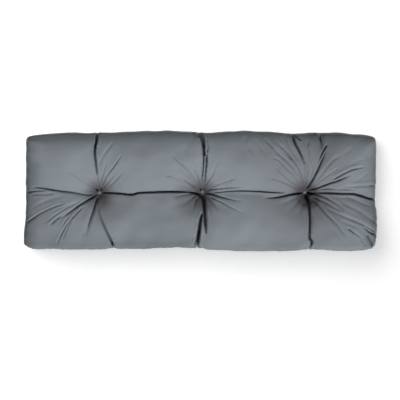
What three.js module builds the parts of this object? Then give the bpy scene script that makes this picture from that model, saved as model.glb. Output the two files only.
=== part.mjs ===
// A long back cushion for a pallet sofa. A woven cover of two panels and a side band is stuffed with
// loose fibre, and three strong threads pull a small covered button into the front and another into
// the back, so the filling stands up in eight lobes with deep folds between them.
//
// The cushion lies on its back: +X runs along its length, +Y towards its upper long edge and +Z out
// of the front. The origin is at the middle of the back, on the surface that it lies on.
// All sizes are in millimetres.

import * as THREE from "three";

// Driving sizes of the filled cushion.
const HALF_LENGTH = 602; // half of the overall length, at its widest
const HALF_HEIGHT = 205.5; // half of the overall height, at its widest
// The two rows of filled lobes: where a row is highest, how high that is over the back, and how much
// lower it lies at a distance of its reach. The filling has settled, so the lower row is flatter.
const UPPER_ROW = { crest: 128, height: 147.5, sag: 27, reach: 132 };
const LOWER_ROW = { crest: -115, height: 131, sag: 10, reach: 112 };
const END_SAG = { start: 430, end: 700, drop: 30 }; // how the rows fall away towards the short edges
// How far in from the outline the panels start to roll over into the band, at each edge.
const UPPER_ROLL = 50;
const LOWER_ROLL = 20;
const LEFT_ROLL = 54;
const RIGHT_ROLL = 42;
const FRONT_ROLL_DEPTH = 50; // depth of that roll on the front
const BACK_ROLL_DEPTH = 38; // depth of that roll on the back

// Tufts: where a button draws the front and the back together.
const TUFTS = [
  { name: "left", x: -343, y: -6 },
  { name: "middle", x: 8, y: -3 },
  { name: "right", x: 356, y: -5 },
];
const FRONT_SEAT = 78; // height of the cloth under a front button
const BACK_SEAT = 32; // height of the cloth over a back button
const SEAT_RADIUS = 10; // flat cloth around a button
const FRONT_WELL_RADIUS = 110;
const FRONT_FUNNEL_RADIUS = 64; // the steep middle of a front well
const BACK_WELL_RADIUS = 80;

// The button: a shallow dome covered with the cushion's own cloth.
const BUTTON_RADIUS = 5.5;
const BUTTON_RIM = 1.6; // height of the upright rim
const BUTTON_DOME = 2.9; // height of the dome over the rim
const BUTTON_CLEARANCE = 0.3;
const BUTTON_SIDES = 16;
const DOME_STEPS = 4;

// Line of each long edge, from lobe to tuft line to lobe. The cloth eases from each row to the next.
const UPPER_EDGE = [
  { x: -440, y: 199.5 },
  { x: -348, y: 196 },
  { x: -150, y: HALF_HEIGHT },
  { x: 5, y: 196.5 },
  { x: 170, y: 204.5 },
  { x: 333, y: 195 },
  { x: 430, y: 200 },
];
const LOWER_EDGE = [
  { x: -430, y: -200.5 },
  { x: -295, y: -195 },
  { x: -200, y: -198 },
  { x: -6, y: -192 },
  { x: 220, y: -HALF_HEIGHT },
  { x: 368, y: -198 },
  { x: 470, y: -HALF_HEIGHT },
];
// Line of each short edge, from the lower corner upwards.
const LEFT_EDGE = [
  { y: -165, x: -HALF_LENGTH },
  { y: -5, x: -594 },
  { y: 60, x: -597 },
  { y: 140, x: -595 },
];
const RIGHT_EDGE = [
  { y: -110, x: HALF_LENGTH },
  { y: -18, x: 593 },
  { y: 90, x: 598 },
];
// How far the corners are drawn in along the long edges, and over what length.
const UPPER_CORNER = { drop: 20, reach: 48 };
const LOWER_CORNER = { drop: 13, reach: 16 };
// Roundness of the corners seen from the front: 2 is a quarter circle, and more is squarer.
const UPPER_CORNER_POWER = 5;
const LOWER_CORNER_POWER = 2.6;
// Share of the way out to an edge at which the cloth starts to ease over to its uneven line.
const EDGE_EASE = 0.65;

// Main folds of the front: a trough from a tuft, or near one, by way of one bend, to its far end.
const FRONT_FOLDS = [
  { start: [-343, -6], bend: [-364, 120], end: [-350, 215], depth: 22, width: 34 },
  { start: [-343, -6], bend: [-470, -1], end: [-590, 16], depth: 15, width: 30 },
  { start: [-343, -6], bend: [-400, -42], end: [-505, -118], depth: 14, width: 28 },
  { start: [-343, -6], bend: [-368, -85], end: [-388, -155], depth: 16, width: 26 },
  { start: [-343, -6], bend: [-326, -120], end: [-290, -205], depth: 13, width: 26 },
  { start: [-343, -6], bend: [-180, -6], end: [8, -3], depth: 24, width: 40 },
  { start: [8, -3], bend: [20, 110], end: [-4, 210], depth: 23, width: 34 },
  { start: [8, -3], bend: [14, -100], end: [-9, -205], depth: 24, width: 36 },
  { start: [8, -3], bend: [180, -1], end: [356, -5], depth: 20, width: 38 },
  { start: [356, -5], bend: [345, 105], end: [308, 205], depth: 18, width: 30 },
  { start: [356, -5], bend: [402, 85], end: [432, 165], depth: 17, width: 28 },
  { start: [356, -5], bend: [455, 30], end: [550, 80], depth: 14, width: 28 },
  { start: [356, -5], bend: [500, -10], end: [606, -30], depth: 20, width: 32 },
  { start: [356, -5], bend: [450, -100], end: [560, -190], depth: 12, width: 34 },
  { start: [356, -5], bend: [373, -110], end: [372, -210], depth: 23, width: 34 },
];
// On the back only the lines between the tufts, and from each tuft to the long edges, show.
const BACK_FOLD_DEPTH = 7;
const BACK_FOLD_WIDTH = 30;
const FOLD_END = 0.55; // share of a fold's depth that is left at its far end

// Grid of the cloth: cells between one short edge, the three tufts and the other short edge, cells
// from the lower edge to the tufts and from there to the upper edge, and cells across the band.
const COLUMN_CELLS = [16, 20, 20, 14];
const ROW_CELLS = [12, 12];
const BAND_CELLS = 6;
const CROWDING = 0.62; // how much closer the grid lines stand at tufts and edges

const COLOUR_CLOTH = 0x7d8488;
const COLOUR_BUTTON = 0x858b8f;

const { clamp, lerp, smoothstep } = THREE.MathUtils;

// Value of an edge line at a position along it: level past its end rows, eased between them.
function eased(rows, along, across, position) {
  const next = rows.findIndex((row) => row[along] > position);
  if (next === 0) return rows[0][across];
  if (next < 0) return rows[rows.length - 1][across];
  const before = rows[next - 1];
  const after = rows[next];
  return lerp(before[across], after[across], smoothstep(position, before[along], after[along]));
}

const cornerDrop = (x, corner) => corner.drop * Math.exp((Math.abs(x) - HALF_LENGTH) / corner.reach);
const upperEdge = (x) => eased(UPPER_EDGE, "x", "y", x) - cornerDrop(x, UPPER_CORNER);
const lowerEdge = (x) => eased(LOWER_EDGE, "x", "y", x) + cornerDrop(x, LOWER_CORNER);
const tuftLine = (x) => eased(TUFTS, "x", "y", x);
const leftEdge = (y) => eased(LEFT_EDGE, "y", "x", y);
const rightEdge = (y) => eased(RIGHT_EDGE, "y", "x", y);

// Height of the filled front over the back, before the tufts and folds.
function filledHeight(x, y) {
  const row = y > tuftLine(x) ? UPPER_ROW : LOWER_ROW;
  const ends = END_SAG.drop * smoothstep(Math.abs(x), END_SAG.start, END_SAG.end);
  return row.height - row.sag * ((y - row.crest) / row.reach) ** 2 - ends;
}

// A coordinate moved so that its edge, at half, falls on the uneven line at edge instead.
function drawnIn(value, half, edge) {
  const ease = smoothstep(Math.abs(value), EDGE_EASE * half, half);
  return value + Math.sign(value) * (Math.abs(edge) - half) * ease;
}

// Place of a grid line, where stops are the positions it must hit and cells the lines between them.
function crowded(share, stops, cells) {
  const total = cells.reduce((sum, n) => sum + n, 0);
  let left = share * total;
  let span = 0;
  while (span < cells.length - 1 && left > cells[span] + 1e-6) {
    left -= cells[span];
    span += 1;
  }
  const t = left / cells[span];
  const crowdedT = t - (CROWDING * Math.sin(2 * Math.PI * t)) / (2 * Math.PI);
  return lerp(stops[span], stops[span + 1], crowdedT);
}

// 1 on a fold or tuft, with a sharp valley there, falling to 0 at the given reach.
function dip(distance, reach) {
  return (1 - clamp(distance / reach, 0, 1)) ** 2;
}

// Distance from a point to a piece of a fold, and how far along that piece the nearest point lies.
function toSegment(x, y, [x0, y0], [x1, y1]) {
  const dx = x1 - x0;
  const dy = y1 - y0;
  const t = clamp(((x - x0) * dx + (y - y0) * dy) / (dx * dx + dy * dy), 0, 1);
  return { distance: Math.hypot(x - x0 - t * dx, y - y0 - t * dy), t };
}

function foldDepth(x, y, fold) {
  const near = toSegment(x, y, fold.start, fold.bend);
  const far = toSegment(x, y, fold.bend, fold.end);
  const along = near.distance < far.distance ? near.t / 2 : 0.5 + far.t / 2;
  const distance = Math.min(near.distance, far.distance);
  return fold.depth * lerp(1, FOLD_END, along) * dip(distance, fold.width);
}

const deepest = (x, y, folds) => Math.max(...folds.map((fold) => foldDepth(x, y, fold)));

// Distance from a point to the seat of the nearest button.
function fromSeat(x, y) {
  const nearest = Math.min(...TUFTS.map((tuft) => Math.hypot(x - tuft.x, y - tuft.y)));
  return Math.max(0, nearest - SEAT_RADIUS);
}

// Share of a tuft's full pull on the front: 1 on the seat, 0 past the well.
function frontPull(x, y) {
  const away = fromSeat(x, y);
  return (dip(away, FRONT_WELL_RADIUS) + dip(away, FRONT_FUNNEL_RADIUS)) / 2;
}

const BACK_FOLDS = TUFTS.flatMap((tuft, i) => {
  const middle = [tuft.x, tuft.y];
  const other = TUFTS[i + 1] ?? { x: HALF_LENGTH, y: tuft.y };
  return [
    [tuft.x, HALF_HEIGHT],
    [tuft.x, -HALF_HEIGHT],
    [other.x, other.y],
    ...(i === 0 ? [[-HALF_LENGTH, tuft.y]] : []),
  ].map((end) => ({
    start: middle,
    bend: [(middle[0] + end[0]) / 2, (middle[1] + end[1]) / 2],
    end,
    depth: BACK_FOLD_DEPTH,
    width: BACK_FOLD_WIDTH,
  }));
});

// A point of the cloth from its place (a, b, c) on a cube of side 2.
function clothPoint(a, b, c) {
  const columns = [-HALF_LENGTH, ...TUFTS.map((tuft) => tuft.x), HALF_LENGTH];
  const gridX = crowded((a + 1) / 2, columns, COLUMN_CELLS);
  const rows = [-HALF_HEIGHT, tuftLine(gridX), HALF_HEIGHT];
  const gridY = crowded((b + 1) / 2, rows, ROW_CELLS);

  // A box with rolled edges: the nearest point of an inner box, and a direction out from it.
  const rollX = a < 0 ? LEFT_ROLL : RIGHT_ROLL;
  const rollY = b < 0 ? LOWER_ROLL : UPPER_ROLL;
  const rollZ = c < 0 ? BACK_ROLL_DEPTH : FRONT_ROLL_DEPTH;
  const innerX = clamp(gridX, LEFT_ROLL - HALF_LENGTH, HALF_LENGTH - RIGHT_ROLL);
  const innerY = clamp(gridY, LOWER_ROLL - HALF_HEIGHT, HALF_HEIGHT - UPPER_ROLL);
  const height = filledHeight(innerX, innerY);
  const gridZ = lerp(0, height, (c + 1) / 2);
  const innerZ = clamp(gridZ, BACK_ROLL_DEPTH, height - FRONT_ROLL_DEPTH);
  const out = [(gridX - innerX) / rollX, (gridY - innerY) / rollY, (gridZ - innerZ) / rollZ];
  const power = b > 0 ? UPPER_CORNER_POWER : LOWER_CORNER_POWER;
  const plan = (Math.abs(out[0]) ** power + Math.abs(out[1]) ** power) ** (1 / power);
  const size = Math.hypot(plan, out[2]);
  const facing = clamp(out[2] / size, -1, 1);

  // Stretched to the uneven outline.
  const boxX = innerX + (out[0] / size) * rollX;
  const boxY = innerY + (out[1] / size) * rollY;
  const x = drawnIn(boxX, HALF_LENGTH, boxX < 0 ? leftEdge(boxY) : rightEdge(boxY));
  const y = drawnIn(boxY, HALF_HEIGHT, boxY < 0 ? lowerEdge(x) : upperEdge(x));
  const z = innerZ + (out[2] / size) * rollZ;

  if (c < 0) {
    if (facing > -0.999) return [x, y, z];
    const raised = z + deepest(x, y, BACK_FOLDS);
    return [x, y, lerp(raised, BACK_SEAT, dip(fromSeat(x, y), BACK_WELL_RADIUS))];
  }
  const towardsFront = Math.max(0, facing);
  const folded = z - towardsFront * deepest(x, y, FRONT_FOLDS);
  return [x, y, lerp(folded, FRONT_SEAT, towardsFront * frontPull(x, y))];
}

function cushionGeometry() {
  const columns = COLUMN_CELLS.reduce((sum, n) => sum + n, 0);
  const rows = ROW_CELLS.reduce((sum, n) => sum + n, 0);
  const geometry = new THREE.BoxGeometry(2, 2, 2, columns, rows, BAND_CELLS);
  const places = geometry.getAttribute("position");
  for (let i = 0; i < places.count; i += 1) {
    places.setXYZ(i, ...clothPoint(places.getX(i), places.getY(i), places.getZ(i)));
  }
  return geometry;
}

// Lathed with its back on z = 0 and its dome towards +Z.
function buttonGeometry() {
  const profile = [new THREE.Vector2(0, 0), new THREE.Vector2(BUTTON_RADIUS, 0)];
  for (let i = 0; i < DOME_STEPS; i += 1) {
    const angle = (i / DOME_STEPS) * (Math.PI / 2);
    const radius = BUTTON_RADIUS * Math.cos(angle);
    profile.push(new THREE.Vector2(radius, BUTTON_RIM + BUTTON_DOME * Math.sin(angle)));
  }
  profile.push(new THREE.Vector2(0, BUTTON_RIM + BUTTON_DOME));
  return new THREE.LatheGeometry(profile, BUTTON_SIDES).rotateX(Math.PI / 2);
}

function cloth(colour) {
  return new THREE.MeshStandardMaterial({ color: colour, roughness: 0.72, metalness: 0 });
}

function named(name, geometry, material) {
  const mesh = new THREE.Mesh(geometry, material);
  mesh.name = name;
  return mesh;
}

const model = new THREE.Group();
model.add(named("cushion", cushionGeometry(), cloth(COLOUR_CLOTH)));
for (const tuft of TUFTS) {
  const front = named(`button_front_${tuft.name}`, buttonGeometry(), cloth(COLOUR_BUTTON));
  front.position.set(tuft.x, tuft.y, FRONT_SEAT + BUTTON_CLEARANCE);
  const back = named(`button_back_${tuft.name}`, buttonGeometry(), cloth(COLOUR_BUTTON));
  back.rotation.x = Math.PI;
  back.position.set(tuft.x, tuft.y, BACK_SEAT - BUTTON_CLEARANCE);
  model.add(front, back);
}

export default model;
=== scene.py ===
import math

import bpy
import numpy as np
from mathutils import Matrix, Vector


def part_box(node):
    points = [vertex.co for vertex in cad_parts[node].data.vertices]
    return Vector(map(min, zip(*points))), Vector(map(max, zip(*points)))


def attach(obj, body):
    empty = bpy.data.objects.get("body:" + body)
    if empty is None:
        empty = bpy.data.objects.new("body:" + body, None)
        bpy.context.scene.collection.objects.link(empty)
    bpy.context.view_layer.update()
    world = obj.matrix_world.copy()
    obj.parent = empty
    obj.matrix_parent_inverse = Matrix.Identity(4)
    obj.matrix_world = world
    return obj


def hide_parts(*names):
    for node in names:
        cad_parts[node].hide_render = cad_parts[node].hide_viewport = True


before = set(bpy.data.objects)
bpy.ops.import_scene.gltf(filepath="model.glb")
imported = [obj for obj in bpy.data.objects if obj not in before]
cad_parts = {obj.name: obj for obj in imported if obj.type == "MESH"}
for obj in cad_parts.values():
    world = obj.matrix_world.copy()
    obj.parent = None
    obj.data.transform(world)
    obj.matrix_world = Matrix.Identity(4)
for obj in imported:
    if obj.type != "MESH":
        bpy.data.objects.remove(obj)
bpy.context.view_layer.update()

# ------------------------------------------------------------------------------
# The cushion. Two oblong panels of fine woven polyester and a side band are sewn together inside out,
# turned, and stuffed with loose fibre. Three threads draw the front and the back together, so that the
# cloth stands up in eight lobes and gathers into folds round each tuft.
# ------------------------------------------------------------------------------

MM = 0.001  # the cushion's own sizes are in millimetres

low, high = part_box("cushion")
half_length = (high.x - low.x) / 2 / MM
half_height = (high.y - low.y) / 2 / MM

# The outline is drawn in between the lobes. Each edge is given by places along it, and how far out from
# the middle it lies there.
UPPER_EDGE = [
    (-480, 199.5), (-430, 198), (-348, 197), (-150, 203), (-55, 201.6), (0, 197), (170, 203.5), (322, 195),
    (430, 200.5),
]
LOWER_EDGE = [
    (-500, 198.8), (-410, 200.8), (-330, 199.5), (-296, 195.5), (-264, 198.5), (-180, 197), (-80, 193),
    (-45, 195), (0, 193.5), (36, 201), (84, 203.4), (170, half_height), (325, half_height), (368, 197.5),
    (420, 202), (480, half_height), (500, half_height), (540, 202.5),
]
LEFT_EDGE = [(-165, half_length), (-80, 596), (-10, 594), (170, 592)]
RIGHT_EDGE = [
    (-180, 598), (-152, half_length), (-75, half_length), (-40, 598.5), (-5, 598.5), (60, 601.7),
]
UPPER_CORNERS = (19, 70)  # how far the upper corners are drawn in, and the length over which that fades
LOWER_CORNERS = (13, 16)


def smoothstep(value, start, end):
    t = np.clip((value - start) / (end - start), 0, 1)
    return t * t * (3 - 2 * t)


def eased(position, stops):
    """Value at a position, eased from each (position, value) stop to the next."""
    value = np.full_like(position, stops[0][1], dtype=float)
    for (start, before), (end, after) in zip(stops, stops[1:]):
        value += (after - before) * smoothstep(position, start, end)
    return value


def long_edge(x, stops, corners):
    """How far out an upper or lower edge lies."""
    drop, reach = corners
    return eased(x, stops) - drop * np.exp((np.abs(x) - half_length) / reach)


def drawn_in(value, half, edge):
    """A coordinate moved so that its edge, at half, falls on the uneven line at edge instead. The inner
    0.65 of it stays."""
    return value + np.sign(value) * (edge - half) * smoothstep(np.abs(value), 0.65 * half, half)


# The two rows of lobes before the cloth swells, each from one place along x to another: where the row is
# highest, how high it is there, how steep it gets far from there; and how gently it turns.
UPPER_ROW = {
    "crest": [(-500, 126), (-410, 146), (-200, 110), (-60, 132), (190, 88), (430, 52)],
    "height": [(250, 142), (470, 111)],
    "steepest": [(250, 0.5), (430, 0.34)],
    "turn": 80,
}
LOWER_ROW = {
    "crest": [(-110, -300), (60, -165), (180, -165), (280, -205), (430, -210)],
    "height": [(280, 131), (430, 148)],
    "steepest": [(-110, 0.115), (60, 0.2), (180, 0.2), (280, 0.17), (430, 0.4)],
    "turn": 70,
}
# Points on the line between the two rows, from the left end to the right.
ROW_LINE = [
    (-572, 13), (-538, 9), (-500, 3), (-467, -2), (-430, -6), (-402, -11), (-376, -14), (-352, -12),
    (-333, -7), (-300, -8), (-270, -10), (-242, -13), (-224, -12), (-212, -8), (-180, -6), (-120, -4),
    (-60, -4), (-30, -6), (-12, -10), (28, -8), (56, -6), (88, -3), (120, -1), (148, -1), (190, -2),
    (235, -5), (270, -7), (296, -8), (348, -8), (394, -8), (436, -8), (476, -10), (520, -11), (534, -14),
    (546, -17), (560, -21), (580, -27), (606, -32),
]
ROW_BLEND = 5  # how far on each side of that line the rows run into each other
LEFT_SAG = 46  # how much lower the front would be at SAG_TO than at SAG_FROM, towards each end
RIGHT_SAG = 38
SAG_FROM, SAG_TO = 430, 700


def row_height(x, y, row):
    crest, height, steepest = (eased(x, row[name]) for name in ("crest", "height", "steepest"))
    return height - steepest * (np.hypot(y - crest, row["turn"]) - row["turn"])


def filled_height(x, y):
    """Height of the front over the back, before the tufts and folds."""
    line_x, line_y = np.transpose(ROW_LINE)
    upper = smoothstep(y - np.interp(x, line_x, line_y), -ROW_BLEND, ROW_BLEND)
    height = upper * row_height(x, y, UPPER_ROW) + (1 - upper) * row_height(x, y, LOWER_ROW)
    return height - np.where(x < 0, LEFT_SAG, RIGHT_SAG) * smoothstep(np.abs(x), SAG_FROM, SAG_TO)


def middle(node):
    corner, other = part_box(node)
    return (corner + other) / 2 / MM


tufts = [middle(f"button_front_{name}") for name in ("left", "middle", "right")]
SEAT_GAP = 0.3  # the cloth ends this far under each button
SEAT_RADIUS = 6
front_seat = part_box("button_front_middle")[0].z / MM - SEAT_GAP
back_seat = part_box("button_back_middle")[1].z / MM + SEAT_GAP
FRONT_WELL = 110  # how far round a tuft its well reaches, and the steep funnel within the well
FRONT_FUNNEL = 52
LOWER_WELL = 1.3  # how much further each front well reaches on its lower side
BACK_WELL = 80


def from_tufts(x, y, lower=1):
    """Distance from the nearest tuft, where a step down from it counts for 1 / lower."""
    distances = [np.hypot(x - tuft.x, (y - tuft.y) / np.where(y < tuft.y, lower, 1)) for tuft in tufts]
    return np.min(distances, axis=0)


def dip(distance, reach):
    return (1 - np.clip(distance / reach, 0, 1)) ** 2


def fold(*points, sink=5, gap=0, lip=6, ridge=0.15, dale=0, spread=30, runs_over=False):
    """One fold of the cloth, along a smooth path through some points.

    sink is its depth, gap the width that stays open at its bottom, lip how far back the cloth beside it
    rounds over, and ridge how much of sink the cloth stands up beyond that. dale is the depth of the broad
    trough that the fold lies in, and spread how far that reaches. Two values of sink or gap are for the
    path's start and end, and two of lip, ridge or spread for its left and right. A fold that runs over
    goes on down the band.
    """
    pairs = {"sink": sink, "gap": gap, "lip": lip, "ridge": ridge, "spread": spread}
    sizes = {name: np.broadcast_to(value, 2) for name, value in pairs.items()}
    return {"path": smooth_path(points), "dale": dale, "runs_over": runs_over, **sizes}


def along_row(start, end):
    """The points of the line between the rows from one place along it to another."""
    return [point for point in ROW_LINE if start <= point[0] <= end]


def smooth_path(points, steps=4):
    """Points along a smooth curve through the given ones."""
    points = np.array(points, dtype=float)
    padded = np.vstack([2 * points[0] - points[1], points, 2 * points[-1] - points[-2]])
    t = (np.arange(steps) / steps)[:, None]
    curve = [
        0.5 * (2 * b + (c - a) * t + (2 * a - 5 * b + 4 * c - d) * t**2 + (3 * b - a - 3 * c + d) * t**3)
        for a, b, c, d in zip(padded, padded[1:], padded[2:], padded[3:])
    ]
    return np.vstack([*curve, points[-1:]])


def to_path(x, y, path, reach):
    """How far each point lies to the left of a path, or to the right if negative, how far along the path
    that is, from 0 to 1, and which of the points are within reach."""
    near = np.flatnonzero(
        (x > path[:, 0].min() - reach)
        & (x < path[:, 0].max() + reach)
        & (y > path[:, 1].min() - reach)
        & (y < path[:, 1].max() + reach)
    )
    starts, steps = path[:-1], np.diff(path, axis=0)
    lengths = np.hypot(steps[:, 0], steps[:, 1])
    before = np.concatenate([[0], np.cumsum(lengths)[:-1]])
    best = np.full(len(near), np.inf)
    share = np.zeros(len(near))
    side = np.ones(len(near))
    for start, step, length, run in zip(starts, steps, lengths, before):
        dx, dy = x[near] - start[0], y[near] - start[1]
        t = np.clip((dx * step[0] + dy * step[1]) / length**2, 0, 1)
        distance = np.hypot(dx - t * step[0], dy - t * step[1])
        closer = distance < best
        best[closer] = distance[closer]
        share[closer] = (run + t[closer] * length) / lengths.sum()
        side[closer] = np.sign(step[0] * dy - step[1] * dx)[closer]
    within = best < reach
    return (best * side)[within], share[within], near[within]


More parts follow.
